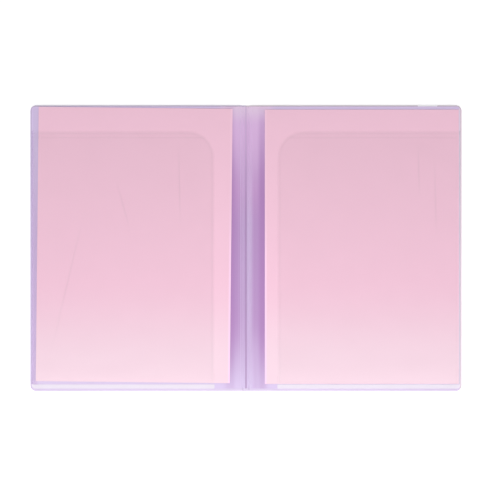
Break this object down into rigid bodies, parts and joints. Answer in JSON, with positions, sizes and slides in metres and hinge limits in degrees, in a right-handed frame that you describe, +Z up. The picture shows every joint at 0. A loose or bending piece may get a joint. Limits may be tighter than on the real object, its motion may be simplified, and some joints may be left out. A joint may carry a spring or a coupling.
{
  "type": "multi-pocket folder",
  "caption": "Slim A4 plastic folder, open flat: scored cover, hinged leaves with clear pockets open at top and spine side, paper in the open spread.",
  "frame": {"origin": "on the table under the middle of the spine, at the middle of the folder's height", "axes": "+X across the open spread to the right page, +Y towards the top of the pages, +Z up from the table"},
  "size_m": [0.468, 0.31, 0.0033],
  "materials": {
    "cover_plastic": "translucent lilac polypropylene, fine matt grain",
    "leaf_plastic": "translucent pale lilac polypropylene",
    "clear_film": "clear polypropylene film, faintly frosted",
    "film_weld": "heat-sealed seam",
    "pink_paper": "plain pink copier paper"
  },
  "bodies": {
    "back_cover": {"back_cover": "cover_plastic", "back_cover_film": "clear_film"},
    "spine": {"spine_panel": "cover_plastic", "centre_fold": "leaf_plastic"},
    "front_cover": {"front_cover": "cover_plastic", "front_cover_film": "clear_film"},
    "left_outer_leaf": {"left_outer_leaf": "leaf_plastic", "left_outer_leaf_web": "leaf_plastic", "left_outer_back_film": "clear_film", "left_outer_front_film": "clear_film"},
    "right_outer_leaf": {"right_outer_leaf": "leaf_plastic", "right_outer_leaf_web": "leaf_plastic", "right_outer_back_film": "clear_film", "right_outer_front_film": "clear_film"},
    "left_inner_leaf": {"left_inner_leaf": "leaf_plastic", "left_inner_leaf_web": "leaf_plastic", "left_inner_back_film": "clear_film", "left_page_side_weld": "film_weld", "left_page_foot_weld": "film_weld", "left_page_film": "clear_film"},
    "right_inner_leaf": {"right_inner_leaf": "leaf_plastic", "right_inner_leaf_web": "leaf_plastic", "right_inner_back_film": "clear_film", "right_page_side_weld": "film_weld", "right_page_foot_weld": "film_weld", "right_page_film": "clear_film"},
    "left_paper": {"left_paper": "pink_paper"},
    "right_paper": {"right_paper": "pink_paper"}
  },
  "joints": [
    {"name": "spine_fold", "type": "hinge", "parent": "back_cover", "child": "spine", "pos_m": [0.0035, 0, 0.00025], "axis": [0, 1, 0], "range_deg": [0, 90]},
    {"name": "front_fold", "type": "hinge", "parent": "spine", "child": "front_cover", "pos_m": [-0.0035, 0, 0.00025], "axis": [0, 1, 0], "range_deg": [0, 90]},
    {"name": "left_leaf_fold", "type": "hinge", "parent": "spine", "child": "left_outer_leaf", "pos_m": [-0.00265, 0, 0.001], "axis": [0, 1, 0], "range_deg": [0, 90]},
    {"name": "right_leaf_fold", "type": "hinge", "parent": "spine", "child": "right_outer_leaf", "pos_m": [0.00265, 0, 0.001], "axis": [0, -1, 0], "range_deg": [0, 90]},
    {"name": "left_page_turn", "type": "hinge", "parent": "left_outer_leaf", "child": "left_inner_leaf", "pos_m": [0, 0, 0.00355], "axis": [0, -1, 0], "range_deg": [-179.9, 0]},
    {"name": "right_page_turn", "type": "hinge", "parent": "right_outer_leaf", "child": "right_inner_leaf", "pos_m": [0, 0, 0.00355], "axis": [0, 1, 0], "range_deg": [-179.9, 0]},
    {"name": "left_paper_slide", "type": "slide", "parent": "left_inner_leaf", "child": "left_paper", "axis": [0, 1, 0], "range_m": [0, 0.3]},
    {"name": "right_paper_slide", "type": "slide", "parent": "right_inner_leaf", "child": "right_paper", "axis": [0, 1, 0], "range_m": [0, 0.3]}
  ],
  "couplings": [
    {"joint": "left_leaf_fold", "follows": "front_fold", "ratio": 1},
    {"joint": "right_leaf_fold", "follows": "spine_fold", "ratio": 1}
  ]
}
